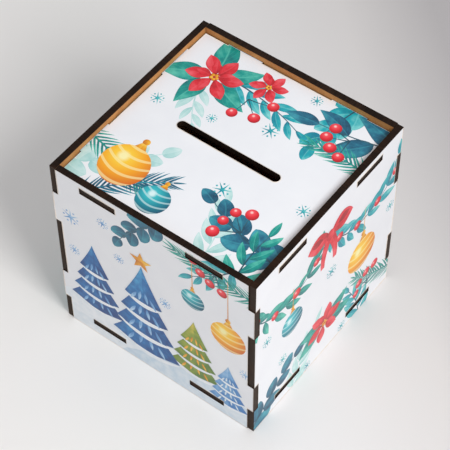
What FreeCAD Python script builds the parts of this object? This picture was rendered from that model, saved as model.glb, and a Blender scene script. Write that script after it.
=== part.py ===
import FreeCAD, Part
import math
import os
import Sketcher

# Money box: a cube of laser-cut board held by finger joints and through tabs, with a slot in
# its sunken top and a swinging hatch under its raised base. Millimetres, origin on the floor
# under the middle of the box, +Z up, front wall towards -Y.

SIZES = {
    # the box over its outer faces, and the board that all its panels are cut from
    "box_width": 100.0,
    "box_depth": 100.0,
    "box_height": 100.0,
    "board": 3.0,
    # every edge of a panel has two tabs or fingers of this length, this far apart
    "tab_length": 17.7,
    "tab_spacing": 34.3,
    # room around each tab and finger
    "joint_gap": 0.1,
    # how far behind the face they show in the fingers of the front and back walls and the ends of
    # all other panels lie
    "finger_setback": 0.15,
    "tab_setback": 0.4,
    # room between the walls and the edges of the top and the base beside their tabs
    "panel_gap": 0.55,
    # the top lies below the rim, and the base above the floor
    "top_recess": 3.0,
    "base_recess": 6.0,
    # slot with round ends in the top
    "slot_length": 50.0,
    "slot_width": 4.2,
    # round opening in the base, and the cover that swings over it
    "opening_diameter": 30.0,
    "cover_lap": 4.0,
    "pivot_margin": 9.5,
    "ear_radius": 6.0,
    "cover_gap": 0.15,
    # pivot screw, washers and lock nut, M3
    "screw_diameter": 3.0,
    "screw_length": 12.0,
    "screw_tip_chamfer": 0.4,
    "head_diameter": 5.7,
    "head_height": 1.65,
    "head_round": 1.2,
    "socket_width": 2.0,
    "socket_depth": 1.0,
    "washer_diameter": 7.0,
    "washer_thickness": 0.5,
    "nut_width": 5.5,
    "nut_height": 4.0,
    "nut_hexagon_height": 2.6,
    "collar_diameter": 5.0,
    "collar_chamfer": 0.5,
    # clearances at the pivot
    "running_fit": 0.05,
    "thread_fit": 0.02,
    "loose_fit": 0.1,
    "thrust_gap": 0.05,
}

doc = FreeCAD.newDocument("money_box")
sizes = doc.addObject("Spreadsheet::Sheet", "Sizes")
for row, (alias, value) in enumerate(SIZES.items(), start=1):
    sizes.set(f"A{row}", alias)
    sizes.set(f"B{row}", str(value))
    sizes.setAlias(f"B{row}", alias)
doc.recompute()

# Places worked out from the sizes
HALF_WIDTH = "Sizes.box_width / 2"
HALF_DEPTH = "Sizes.box_depth / 2"
HALF_HEIGHT = "Sizes.box_height / 2"
TAB_NEAR = "Sizes.tab_spacing / 2"
TAB_FAR = "Sizes.tab_spacing / 2 + Sizes.tab_length"
TOP_LEVEL = "Sizes.box_height - Sizes.top_recess - Sizes.board"
BASE_LEVEL = "Sizes.base_recess"
PIVOT_DISTANCE = "Sizes.opening_diameter / 2 + Sizes.pivot_margin"
COVER_RADIUS = "Sizes.opening_diameter / 2 + Sizes.cover_lap"
COVER_LEVEL = "Sizes.base_recess - Sizes.cover_gap - Sizes.board"
OUTER_WASHER_LEVEL = f"{COVER_LEVEL} - Sizes.thrust_gap - Sizes.washer_thickness"
HEAD_LEVEL = f"{OUTER_WASHER_LEVEL} - Sizes.head_height"
INNER_WASHER_LEVEL = "Sizes.base_recess + Sizes.board"
NUT_LEVEL = f"{INNER_WASHER_LEVEL} + Sizes.washer_thickness"
LOOSE_HOLE = "Sizes.screw_diameter + 2 * Sizes.loose_fit"

# How a sketch counts: its own axes downwards from -1, and the points of a line or an arc from 1.
# The origin is the first point of the X axis.
AXIS_X, AXIS_Y = range(-1, -3, -1)
START, END, CENTRE = range(1, 4)

bodies = []


def value_of(expression):
    """The number that an expression of the sheet's cells gives now."""
    return float(sizes.evalExpression(expression))


def new_body(label, x="0", y="0", z="0"):
    """An empty sub-part whose origin stands at the given place."""
    body = doc.addObject("PartDesign::Body", label)
    body.Label = label
    for axis, place in zip("xyz", (x, y, z)):
        body.setExpression(f"Placement.Base.{axis}", place)
    bodies.append(body)
    return body


def new_sketch(body, name, plane, level="0"):
    """A sketch on one of the body's own planes, lifted off it by level."""
    sketch = body.newObject("Sketcher::SketchObject", f"{body.Name}_{name}")
    support = next(item for item in body.Origin.OriginFeatures if item.Role == plane)
    sketch.AttachmentSupport = [(support, "")]
    sketch.MapMode = "FlatFace"
    sketch.setExpression("AttachmentOffset.Base.z", level)
    return sketch


def constrain(sketch, *terms):
    """Adds a constraint without a size."""
    sketch.addConstraint(Sketcher.Constraint(*terms))


def dimension(sketch, expression, *terms):
    """Adds a constraint whose size follows an expression."""
    number = sketch.addConstraint(Sketcher.Constraint(*terms, value_of(expression)))
    sketch.setExpression(f"Constraints[{number}]", expression)


def rectangle(sketch, left, right, bottom, top):
    """A rectangle with its sides at the given places."""
    x0, x1, y0, y1 = (value_of(side) for side in (left, right, bottom, top))
    corners = [FreeCAD.Vector(x, y, 0) for x, y in ((x0, y0), (x1, y0), (x1, y1), (x0, y1))]
    first = sketch.GeometryCount
    for side, corner in enumerate(corners):
        sketch.addGeometry(Part.LineSegment(corner, corners[(side + 1) % 4]))
    for side in range(4):
        constrain(sketch, "Coincident", first + side, END, first + (side + 1) % 4, START)
        constrain(sketch, ("Horizontal", "Vertical")[side % 2], first + side)
    dimension(sketch, left, "DistanceX", AXIS_X, START, first, START)
    dimension(sketch, bottom, "DistanceY", AXIS_X, START, first, START)
    dimension(sketch, right, "DistanceX", AXIS_X, START, first + 2, START)
    dimension(sketch, top, "DistanceY", AXIS_X, START, first + 2, START)


def circle(sketch, diameter, x="0", y="0"):
    """A circle about the given point."""
    centre = FreeCAD.Vector(value_of(x), value_of(y), 0)
    number = sketch.addGeometry(
        Part.Circle(centre, FreeCAD.Vector(0, 0, 1), value_of(diameter) / 2)
    )
    dimension(sketch, diameter, "Diameter", number)
    dimension(sketch, x, "DistanceX", AXIS_X, START, number, CENTRE)
    dimension(sketch, y, "DistanceY", AXIS_X, START, number, CENTRE)


def hexagon(sketch, width):
    """A hexagon about the origin, with the given width across its flats."""
    radius = value_of(width) / math.sqrt(3)
    corners = [
        FreeCAD.Vector(radius * math.cos(turn), radius * math.sin(turn), 0)
        for turn in (side * math.pi / 3 for side in range(6))
    ]
    for side, corner in enumerate(corners):
        sketch.addGeometry(Part.LineSegment(corner, corners[(side + 1) % 6]))
    guide = sketch.addGeometry(
        Part.Circle(FreeCAD.Vector(), FreeCAD.Vector(0, 0, 1), radius), True
    )
    constrain(sketch, "Coincident", guide, CENTRE, AXIS_X, START)
    for side in range(6):
        constrain(sketch, "Coincident", side, END, (side + 1) % 6, START)
        constrain(sketch, "PointOnObject", side, START, guide)
    for side in range(1, 6):
        constrain(sketch, "Equal", 0, side)
    constrain(sketch, "PointOnObject", 0, START, AXIS_X)
    dimension(sketch, f"{width} / sqrt(3)", "Radius", guide)


def pear(sketch, large_radius, small_radius, distance):
    """A small arc about the origin and a large one below it, joined by tangent lines."""
    large = value_of(large_radius)
    small = value_of(small_radius)
    drop = FreeCAD.Vector(0, -value_of(distance), 0)
    turn = math.asin((large - small) / value_of(distance))
    right = FreeCAD.Vector(math.cos(turn), math.sin(turn), 0)
    left = FreeCAD.Vector(-right.x, right.y, 0)
    upwards = FreeCAD.Vector(0, 0, 1)
    ear_circle = Part.Circle(FreeCAD.Vector(), upwards, small)
    disc_circle = Part.Circle(drop, upwards, large)
    ear = sketch.addGeometry(Part.ArcOfCircle(ear_circle, turn, math.pi - turn))
    left_line = sketch.addGeometry(Part.LineSegment(left * small, drop + left * large))
    disc = sketch.addGeometry(Part.ArcOfCircle(disc_circle, math.pi - turn, 2 * math.pi + turn))
    right_line = sketch.addGeometry(Part.LineSegment(drop + right * large, right * small))
    loop = [ear, left_line, disc, right_line]
    for piece, following in zip(loop, loop[1:] + loop[:1]):
        constrain(sketch, "Tangent", piece, END, following, START)
    constrain(sketch, "Coincident", ear, CENTRE, AXIS_X, START)
    constrain(sketch, "PointOnObject", disc, CENTRE, AXIS_Y)
    dimension(sketch, f"-({distance})", "DistanceY", AXIS_X, START, disc, CENTRE)
    dimension(sketch, small_radius, "Radius", ear)
    dimension(sketch, large_radius, "Radius", disc)


def slot(sketch, length, width):
    """A slot with round ends about the origin, along X."""
    reach = (value_of(length) - value_of(width)) / 2
    radius = value_of(width) / 2
    upwards = FreeCAD.Vector(0, 0, 1)
    right_end = Part.Circle(FreeCAD.Vector(reach, 0, 0), upwards, radius)
    left_end = Part.Circle(FreeCAD.Vector(-reach, 0, 0), upwards, radius)
    right_arc = sketch.addGeometry(Part.ArcOfCircle(right_end, -math.pi / 2, math.pi / 2))
    upper_line = sketch.addGeometry(
        Part.LineSegment(FreeCAD.Vector(reach, radius, 0), FreeCAD.Vector(-reach, radius, 0))
    )
    left_arc = sketch.addGeometry(Part.ArcOfCircle(left_end, math.pi / 2, 3 * math.pi / 2))
    lower_line = sketch.addGeometry(
        Part.LineSegment(FreeCAD.Vector(-reach, -radius, 0), FreeCAD.Vector(reach, -radius, 0))
    )
    loop = [right_arc, upper_line, left_arc, lower_line]
    for piece, following in zip(loop, loop[1:] + loop[:1]):
        constrain(sketch, "Tangent", piece, END, following, START)
    for arc in (right_arc, left_arc):
        constrain(sketch, "PointOnObject", arc, CENTRE, AXIS_X)
    constrain(sketch, "Equal", right_arc, left_arc)
    half_run = f"({length} - {width}) / 2"
    dimension(sketch, half_run, "DistanceX", AXIS_X, START, right_arc, CENTRE)
    dimension(sketch, f"-({half_run})", "DistanceX", AXIS_X, START, left_arc, CENTRE)
    dimension(sketch, f"{width} / 2", "Radius", right_arc)


def pad(body, sketch, height):
    """Raises the sketch by height and joins it to the body."""
    feature = body.newObject("PartDesign::Pad", f"{sketch.Name}_pad")
    feature.Profile = sketch
    feature.setExpression("Length", height)
    doc.recompute()
    return feature


def pocket(body, sketch, depth=None):
    """Cuts the sketch upwards out of the body, right through it unless a depth is given."""
    solid_volume = body.Shape.Volume
    feature = body.newObject("PartDesign::Pocket", f"{sketch.Name}_pocket")
    feature.Profile = sketch
    feature.Reversed = True
    if depth is None:
        feature.Type = "ThroughAll"
    else:
        feature.setExpression("Length", depth)
    doc.recompute()
    if not body.Shape.Volume < solid_volume:
        raise RuntimeError(f"{feature.Name} cuts nothing")


def round_edge(body, kind, size_property, size, chosen):
    """A Fillet or Chamfer on the edges of the body that chosen accepts."""
    base = body.Tip
    names = [f"Edge{i}" for i, edge in enumerate(base.Shape.Edges, start=1) if chosen(edge)]
    if not names:
        raise RuntimeError(f"no edge to {kind} on {body.Name}")
    feature = body.newObject(f"PartDesign::{kind}", f"{body.Name}_{kind}")
    feature.Base = (base, names)
    feature.setExpression(size_property, size)
    doc.recompute()


def rim_at(radius, level):
    """Accepts the circles of the given radius at the given height in the body."""
    def accepts(edge):
        curve = edge.Curve
        if not isinstance(curve, Part.Circle):
            return False
        same_radius = math.isclose(curve.Radius, radius)
        return same_radius and math.isclose(curve.Center.z, level, abs_tol=radius / 1000)
    return accepts


def finger_levels(gap):
    """Lower and upper end of each finger on an upright edge, less gap at both ends."""
    return [
        (f"{HALF_HEIGHT} - ({TAB_FAR}) + {gap}", f"{HALF_HEIGHT} - {TAB_NEAR} - {gap}"),
        (f"{HALF_HEIGHT} + {TAB_NEAR} + {gap}", f"{HALF_HEIGHT} + {TAB_FAR} - {gap}"),
    ]


def tab_spans(gap):
    """Ends of the two tabs along a level edge, less gap at both ends."""
    return [
        (f"-({TAB_FAR}) + {gap}", f"-({TAB_NEAR}) - {gap}"),
        (f"{TAB_NEAR} + {gap}", f"{TAB_FAR} - {gap}"),
    ]


def cut_mortises(wall, plane):
    """The four holes that the tabs of the top and the base come through."""
    sketch = new_sketch(wall, "mortises", plane)
    for left, right in tab_spans("0"):
        for level in (BASE_LEVEL, TOP_LEVEL):
            below = f"{level} - Sizes.joint_gap"
            above = f"{level} + Sizes.board + Sizes.joint_gap"
            rectangle(sketch, left, right, below, above)
    pocket(wall, sketch)


def wall(label, plane, narrow, wide, wide_levels, x="0", y="0"):
    """An upright panel, narrow all the way up and wide at the given levels."""
    body = new_body(label, x, y)
    sheet = new_sketch(body, "sheet", plane)
    rectangle(sheet, f"-({narrow})", narrow, "0", "Sizes.box_height")
    pad(body, sheet, "Sizes.board")
    fingers = new_sketch(body, "fingers", plane)
    for bottom, top in wide_levels:
        rectangle(fingers, f"-({wide})", wide, bottom, top)
    pad(body, fingers, "Sizes.board")
    cut_mortises(body, plane)


def front_and_back():
    """Walls whose fingers show in the side faces."""
    narrow = f"{HALF_WIDTH} - Sizes.board - Sizes.joint_gap"
    wide = f"{HALF_WIDTH} - Sizes.finger_setback"
    levels = finger_levels("Sizes.joint_gap")
    wall("front_wall", "XZ_Plane", narrow, wide, levels, y=f"Sizes.board - {HALF_DEPTH}")
    wall("back_wall", "XZ_Plane", narrow, wide, levels, y=HALF_DEPTH)


def left_and_right():
    """Walls whose ends show in the front and back faces, between those walls' fingers."""
    narrow = f"{HALF_DEPTH} - Sizes.board - Sizes.joint_gap"
    wide = f"{HALF_DEPTH} - Sizes.tab_setback"
    (lower_start, lower_end), (upper_start, upper_end) = finger_levels("0")
    levels = [
        ("0", lower_start),
        (lower_end, upper_start),
        (upper_end, "Sizes.box_height"),
    ]
    wall("left_wall", "YZ_Plane", narrow, wide, levels, x=f"-{HALF_WIDTH}")
    wall("right_wall", "YZ_Plane", narrow, wide, levels, x=f"{HALF_WIDTH} - Sizes.board")


def level_panel(label, level):
    """A level panel between the walls, with two tabs through each of them."""
    body = new_body(label, z=level)
    inner_x = f"{HALF_WIDTH} - Sizes.board - Sizes.panel_gap"
    inner_y = f"{HALF_DEPTH} - Sizes.board - Sizes.panel_gap"
    reach_x = f"{HALF_WIDTH} - Sizes.tab_setback"
    reach_y = f"{HALF_DEPTH} - Sizes.tab_setback"
    sheet = new_sketch(body, "sheet", "XY_Plane")
    rectangle(sheet, f"-({inner_x})", inner_x, f"-({inner_y})", inner_y)
    pad(body, sheet, "Sizes.board")
    side_tabs = new_sketch(body, "side_tabs", "XY_Plane")
    end_tabs = new_sketch(body, "end_tabs", "XY_Plane")
    for start, end in tab_spans("Sizes.joint_gap"):
        rectangle(side_tabs, f"-({reach_x})", reach_x, start, end)
        rectangle(end_tabs, start, end, f"-({reach_y})", reach_y)
    pad(body, side_tabs, "Sizes.board")
    pad(body, end_tabs, "Sizes.board")
    return body


def top_panel():
    """The sunken top with the slot for notes and coins."""
    body = level_panel("top_panel", TOP_LEVEL)
    opening = new_sketch(body, "slot", "XY_Plane")
    slot(opening, "Sizes.slot_length", "Sizes.slot_width")
    pocket(body, opening)


def base_panel():
    """The raised base with the round opening and the hole for the pivot screw."""
    body = level_panel("base_panel", BASE_LEVEL)
    holes = new_sketch(body, "holes", "XY_Plane")
    circle(holes, "Sizes.opening_diameter")
    circle(holes, LOOSE_HOLE, y=PIVOT_DISTANCE)
    pocket(body, holes)


def hatch_cover():
    """The pear-shaped cover under the base, with its origin on the pivot's axis."""
    body = new_body("hatch_cover", y=PIVOT_DISTANCE, z=COVER_LEVEL)
    outline = new_sketch(body, "outline", "XY_Plane")
    pear(outline, COVER_RADIUS, "Sizes.ear_radius", PIVOT_DISTANCE)
    pad(body, outline, "Sizes.board")
    hole = new_sketch(body, "hole", "XY_Plane")
    circle(hole, "Sizes.screw_diameter + 2 * Sizes.running_fit")
    pocket(body, hole)


def hatch_screw():
    """The pivot screw, head down, with a hexagon socket."""
    body = new_body("hatch_screw", y=PIVOT_DISTANCE, z=HEAD_LEVEL)
    head = new_sketch(body, "head", "XY_Plane")
    circle(head, "Sizes.head_diameter")
    pad(body, head, "Sizes.head_height")
    head_radius = value_of("Sizes.head_diameter") / 2
    round_edge(body, "Fillet", "Radius", "Sizes.head_round", rim_at(head_radius, 0.0))
    shank = new_sketch(body, "shank", "XY_Plane", level="Sizes.head_height")
    circle(shank, "Sizes.screw_diameter")
    pad(body, shank, "Sizes.screw_length")
    tip_level = value_of("Sizes.head_height + Sizes.screw_length")
    tip = rim_at(value_of("Sizes.screw_diameter") / 2, tip_level)
    round_edge(body, "Chamfer", "Size", "Sizes.screw_tip_chamfer", tip)
    socket = new_sketch(body, "socket", "XY_Plane")
    hexagon(socket, "Sizes.socket_width")
    pocket(body, socket, "Sizes.socket_depth")


def washer(label, level):
    """A flat washer about the pivot's axis."""
    body = new_body(label, y=PIVOT_DISTANCE, z=level)
    ring = new_sketch(body, "ring", "XY_Plane")
    circle(ring, "Sizes.washer_diameter")
    circle(ring, LOOSE_HOLE)
    pad(body, ring, "Sizes.washer_thickness")


def lock_nut():
    """The nut inside the box: a hexagon with a round collar for its friction insert."""
    body = new_body("lock_nut", y=PIVOT_DISTANCE, z=NUT_LEVEL)
    flats = new_sketch(body, "flats", "XY_Plane")
    hexagon(flats, "Sizes.nut_width")
    pad(body, flats, "Sizes.nut_hexagon_height")
    collar = new_sketch(body, "collar", "XY_Plane")
    circle(collar, "Sizes.collar_diameter")
    pad(body, collar, "Sizes.nut_height")
    edge = rim_at(value_of("Sizes.collar_diameter") / 2, value_of("Sizes.nut_height"))
    round_edge(body, "Chamfer", "Size", "Sizes.collar_chamfer", edge)
    bore = new_sketch(body, "bore", "XY_Plane")
    circle(bore, "Sizes.screw_diameter + 2 * Sizes.thread_fit")
    pocket(body, bore)


def check_document():
    """Stops before anything is written if a feature failed or a sub-part is not one solid."""
    for item in doc.Objects:
        if "Invalid" in item.State or "Error" in item.State:
            raise RuntimeError(f"{item.Name} failed: {item.State}")
        if item.isDerivedFrom("Sketcher::SketchObject") and not item.FullyConstrained:
            raise RuntimeError(f"{item.Name} is not fully constrained")
    for body in bodies:
        shape = body.Shape
        if shape.isNull() or not shape.isValid() or len(shape.Solids) != 1:
            raise RuntimeError(f"{body.Label} is not one valid solid")


front_and_back()
left_and_right()
top_panel()
base_panel()
hatch_cover()
hatch_screw()
washer("outer_washer", OUTER_WASHER_LEVEL)
washer("inner_washer", INNER_WASHER_LEVEL)
lock_nut()
doc.recompute()
check_document()
os.makedirs("parts", exist_ok=True)
for body in bodies:
    body.Shape.exportStep(f"parts/{body.Label}.step")
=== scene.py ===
"""Looks of a laser-cut money box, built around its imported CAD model.

Objects are in metres in the CAD frame: Z up, the front wall towards -Y. The printed designs are drawn
on a grid of GRID_STEPS to the side of the box, from the middle of each face, as seen from outside.
"""

import math
import random

import bpy
from mathutils import Matrix, Vector


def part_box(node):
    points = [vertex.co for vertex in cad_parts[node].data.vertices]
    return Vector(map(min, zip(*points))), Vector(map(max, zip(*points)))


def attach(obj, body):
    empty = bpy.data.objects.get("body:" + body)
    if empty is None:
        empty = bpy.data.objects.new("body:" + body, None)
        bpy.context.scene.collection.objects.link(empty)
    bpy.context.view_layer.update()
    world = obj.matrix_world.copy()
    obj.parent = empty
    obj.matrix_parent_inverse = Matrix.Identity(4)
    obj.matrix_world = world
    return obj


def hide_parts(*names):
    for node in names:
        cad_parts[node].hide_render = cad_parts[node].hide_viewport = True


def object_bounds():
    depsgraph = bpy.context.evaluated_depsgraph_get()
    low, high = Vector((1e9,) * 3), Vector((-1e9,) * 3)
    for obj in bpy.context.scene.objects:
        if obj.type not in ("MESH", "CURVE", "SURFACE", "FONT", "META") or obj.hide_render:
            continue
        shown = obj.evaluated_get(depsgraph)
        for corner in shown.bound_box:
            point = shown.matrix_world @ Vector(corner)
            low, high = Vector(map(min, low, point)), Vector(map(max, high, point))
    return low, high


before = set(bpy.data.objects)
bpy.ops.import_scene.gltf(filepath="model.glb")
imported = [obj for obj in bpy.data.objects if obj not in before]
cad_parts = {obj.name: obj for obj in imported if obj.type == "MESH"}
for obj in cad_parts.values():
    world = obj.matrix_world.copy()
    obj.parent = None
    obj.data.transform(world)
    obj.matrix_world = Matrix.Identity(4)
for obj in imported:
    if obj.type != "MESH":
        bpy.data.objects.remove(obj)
cad_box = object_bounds()
bpy.ops.object.select_all(action="DESELECT")

MM = 0.001
RIGHT, BACK, UP = Vector((1, 0, 0)), Vector((0, 1, 0)), Vector((0, 0, 1))

# Board, ink and fasteners, in millimetres
ARRIS = 0.05          # width of the dulled corner of a cut
LIP = 0.12            # width of the lip of primer that stands round a printed face
SCORCH = 0.5          # width of the brown tint that smoke leaves along a cut
BURNISH = 0.08        # width of the rubbed corner of a tumbled and plated fastener
STRIA_WIDTH = 0.4     # marks that the pulses of the laser leave on a cut
STRIA_LENGTH = 5.0    # more than the board's thickness, so that the marks run through it
WALL_GAP = 0.02       # room between the walls and what ends at their inner faces
WELD = 0.001          # points that lie closer are one, here and, in lengths, on a unit shape
INK_DEPTH = 0.14      # primer and ink together: the printed face of the board lies this much lower
INK_LAYERS = 18
INK_LAYER = INK_DEPTH / INK_LAYERS
INK_FILM = 0.7 * INK_LAYER      # one plate of ink, so that plates in neighbouring layers never touch

# Angles at which the faces of a mesh meet
FLUSH = math.radians(1)     # at less they are one flat face
SMOOTH = math.radians(30)   # at less they are one curve
SHARP = math.radians(40)    # at more they make a corner
FLAT = 0.99                 # least cosine between a flat face's normal and the way it faces

# One step of the grid that the printed designs are drawn on
GRID_STEPS = 140
GRID = (cad_box[1].x - cad_box[0].x) / GRID_STEPS

# Half the width of the space between the walls
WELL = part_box("right_wall")[0].x - WALL_GAP * MM

# Sockets of the colour mix node, whose names are shared with its other data types
FACTOR, MIX_A, MIX_B, MIXED = 0, 6, 7, 2


def linear(code):
    """Linear colour of an sRGB hex value such as 2a1e16."""
    channels = [int(code[start:start + 2], 16) / 255 for start in (0, 2, 4)]
    return [c / 12.92 if c <= 0.04045 else ((c + 0.055) / 1.055) ** 2.4 for c in channels] + [1.0]


def per_mm(size):
    """Texture scale that makes one feature this many millimetres wide."""
    return 1 / (size * MM)


def new_material(name):
    """An empty material with a Principled shader: its tree and that shader."""
    material = bpy.data.materials.new(name)
    material.use_nodes = True
    tree = material.node_tree
    return material, tree, tree.nodes["Principled BSDF"]


def add(tree, kind, inputs=None, stops=None, **settings):
    """Adds a shader node. Inputs are values or the outputs that feed them; stops are a ramp's colours."""
    node = tree.nodes.new("ShaderNode" + kind)
    for name, value in settings.items():
        setattr(node, name, value)
    for socket, value in (inputs or {}).items():
        if isinstance(value, bpy.types.NodeSocket):
            tree.links.new(value, node.inputs[socket])
        else:
            node.inputs[socket].default_value = value
    if stops:
        ramp = node.color_ramp.elements
        for index, (position, colour) in enumerate(stops):
            element = ramp[index] if index < len(ramp) else ramp.new(position)
            element.position = position
            element.color = linear(colour)
    return node


def connect(tree, shader, **sockets):
    """Feeds the shader's sockets, named with underscores for spaces."""
    for name, output in sockets.items():
        tree.links.new(output, shader.inputs[name.replace("_", " ")])


# Materials

INK_ROUGHNESS = 0.4
RESIN_IOR = 1.5                     # cured acrylic ink
VEIN_PAIRS, VEIN_LEAN = 7.0, 5.0    # side veins along a leaf, and how far they lean to its tip
GLINT_PLACE = (0.36, 0.66, 0.0)     # on the UV map of a ball
BAND_COUNT, BAND_CURVE = 4.5, 0.7   # bands across a ball, and how far their ends rise

# Painted shade on the paper, for the falloff of the light: it darkens this way, between two distances in
# millimetres from the middle of the box
SHADE_FALL_WAY = (0.70, 0.71, 0.0)
SHADE_FALL_START, SHADE_FALL_END = -101, 129


def white_ink_face():
    """UV-cured white ink on primed fibreboard: a satin white, with orange peel and a warm tint at cuts."""
    material, tree, shader = new_material("uv_printed_white_board")
    place = add(tree, "TexCoord").outputs["Object"]
    cloud = add(tree, "TexNoise", {"Vector": place, "Scale": per_mm(13), "Detail": 3.0}).outputs["Fac"]
    white = add(tree, "ValToRGB", {"Fac": cloud}, [(0.3, "edeef2"), (0.7, "f1f2f5")]).outputs["Color"]
    smoke = add(tree, "Attribute", attribute_name="scorch").outputs["Fac"]
    speck = add(tree, "TexNoise", {"Vector": place, "Scale": per_mm(1.8), "Detail": 4.0}).outputs["Fac"]
    tint = add(tree, "Math", {0: smoke, 1: speck}, operation="MULTIPLY").outputs[0]
    face = add(tree, "Mix", {FACTOR: tint, MIX_A: white, MIX_B: linear("dcc09c")}, data_type="RGBA")
    peel = add(tree, "TexNoise", {"Vector": place, "Scale": per_mm(0.65), "Detail": 2.0}).outputs["Fac"]
    relief = add(tree, "Bump", {"Height": peel, "Strength": 0.12, "Distance": 0.015 * MM})
    gloss = add(tree, "MapRange", {"Value": cloud, "To Min": 0.36, "To Max": 0.46}).outputs["Result"]
    connect(tree, shader, Base_Color=face.outputs[MIXED], Roughness=gloss, Normal=relief.outputs[0])
    shader.inputs["IOR"].default_value = RESIN_IOR
    return material


def charred_edge(axis):
    """Laser-cut edge of fibreboard: sooty black with a dusty sheen and fine striae through its thickness."""
    material, tree, shader = new_material("laser_charred_edge_" + "xyz"[axis])
    place = add(tree, "TexCoord").outputs["Object"]
    squeeze = [1.0, 1.0, 1.0]
    squeeze[axis] = STRIA_WIDTH / STRIA_LENGTH
    along = add(tree, "Mapping", {"Vector": place, "Scale": squeeze}).outputs["Vector"]
    marks = {"Vector": along, "Scale": per_mm(STRIA_WIDTH), "Detail": 2.0}
    striae = add(tree, "TexNoise", marks).outputs["Fac"]
    patch = add(tree, "TexNoise", {"Vector": place, "Scale": per_mm(10), "Detail": 3.0}).outputs["Fac"]
    both = add(tree, "Math", {0: striae, 1: patch}, operation="ADD").outputs[0]
    mean = add(tree, "Math", {0: both, 1: 0.5}, operation="MULTIPLY").outputs[0]
    stops = [(0.32, "0c0603"), (0.66, "321e13"), (0.48, "1b0f08")]
    colour = add(tree, "ValToRGB", {"Fac": mean}, stops).outputs["Color"]
    relief = add(tree, "Bump", {"Height": striae, "Strength": 0.5, "Distance": 0.035 * MM})
    gloss = add(tree, "MapRange", {"Value": patch, "To Min": 0.5, "To Max": 0.75}).outputs["Result"]
    connect(tree, shader, Base_Color=colour, Roughness=gloss, Normal=relief.outputs[0])
    shader.inputs["Specular IOR Level"].default_value = 0.12
    shader.inputs["Sheen Weight"].default_value = 0.42
    shader.inputs["Sheen Roughness"].default_value = 0.4
    shader.inputs["Sheen Tint"].default_value = linear("b09a88")
    return material


def painted_shade_hole():
    """Wall of a slot or mortise: mottled charred black, painted darker and more matt than the other cuts as
    painted shade for the shadow deep in the hole.
    """
    material, tree, shader = new_material("laser_sooted_hole")
    place = add(tree, "TexCoord").outputs["Object"]
    hole_mottle = add(tree, "TexNoise", {"Vector": place, "Scale": per_mm(0.8), "Detail": 3.0}).outputs["Fac"]
    colour = add(tree, "ValToRGB", {"Fac": hole_mottle}, [(0.35, "140c07"), (0.7, "2e1d11")]).outputs["Color"]
    connect(tree, shader, Base_Color=colour)
    shader.inputs["Roughness"].default_value = 0.9
    shader.inputs["Specular IOR Level"].default_value = 0.1
    return material


def raw_fibreboard():
    """Raw pressed side of fibreboard: tan brown, matt, with short fibres, and smoked dark along its cuts."""
    material, tree, shader = new_material("raw_pressed_fibreboard")
    place = add(tree, "TexCoord").outputs["Object"]
    fibres = {"Vector": place, "Scale": per_mm(0.45), "Detail": 5.0, "Distortion": 3.5}
    fibre = add(tree, "TexNoise", fibres).outputs["Fac"]
    patch = add(tree, "TexNoise", {"Vector": place, "Scale": per_mm(5), "Detail": 5.0}).outputs["Fac"]
    coarse = add(tree, "Math", {0: patch, 1: 0.3}, operation="MULTIPLY").outputs[0]
    tone = add(tree, "Math", {0: fibre, 1: 0.7, 2: coarse}, operation="MULTIPLY_ADD").outputs[0]
    stops = [(0.3, "8a5426"), (0.68, "d29a5c"), (0.48, "b97d42")]
    colour = add(tree, "ValToRGB", {"Fac": tone}, stops).outputs["Color"]
    smoke = add(tree, "Attribute", attribute_name="scorch").outputs["Fac"]
    burn = add(tree, "Math", {0: smoke, 1: 2.5}, operation="POWER").outputs[0]
    smoked = add(tree, "Mix", {FACTOR: burn, MIX_A: colour, MIX_B: linear("3a1c0c")}, data_type="RGBA")
    relief = add(tree, "Bump", {"Height": fibre, "Strength": 0.35, "Distance": 0.035 * MM})
    connect(tree, shader, Base_Color=smoked.outputs[MIXED], Normal=relief.outputs[0])
    shader.inputs["Roughness"].default_value = 0.82
    return material


def zinc_plated_steel():
    """Bright zinc plating on steel: cool grey metal with faint clouds and fine scratches."""
    material, tree, shader = new_material("bright_zinc_plated_steel")
    place = add(tree, "TexCoord").outputs["Object"]
    cloud = add(tree, "TexNoise", {"Vector": place, "Scale": per_mm(1.8), "Detail": 4.0}).outputs["Fac"]
    colour = add(tree, "ValToRGB", {"Fac": cloud}, [(0.3, "b3b4b2"), (0.7, "d3d3ce")]).outputs["Color"]
    scratch = add(tree, "TexNoise", {"Vector": place, "Scale": per_mm(0.2), "Detail": 3.0}).outputs["Fac"]
    gloss = add(tree, "MapRange", {"Value": scratch, "To Min": 0.22, "To Max": 0.42}).outputs["Result"]
    relief = add(tree, "Bump", {"Height": scratch, "Strength": 0.15, "Distance": 0.01 * MM})
    connect(tree, shader, Base_Color=colour, Roughness=gloss, Normal=relief.outputs[0])
    shader.inputs["Metallic"].default_value = 1.0
    return material


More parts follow.
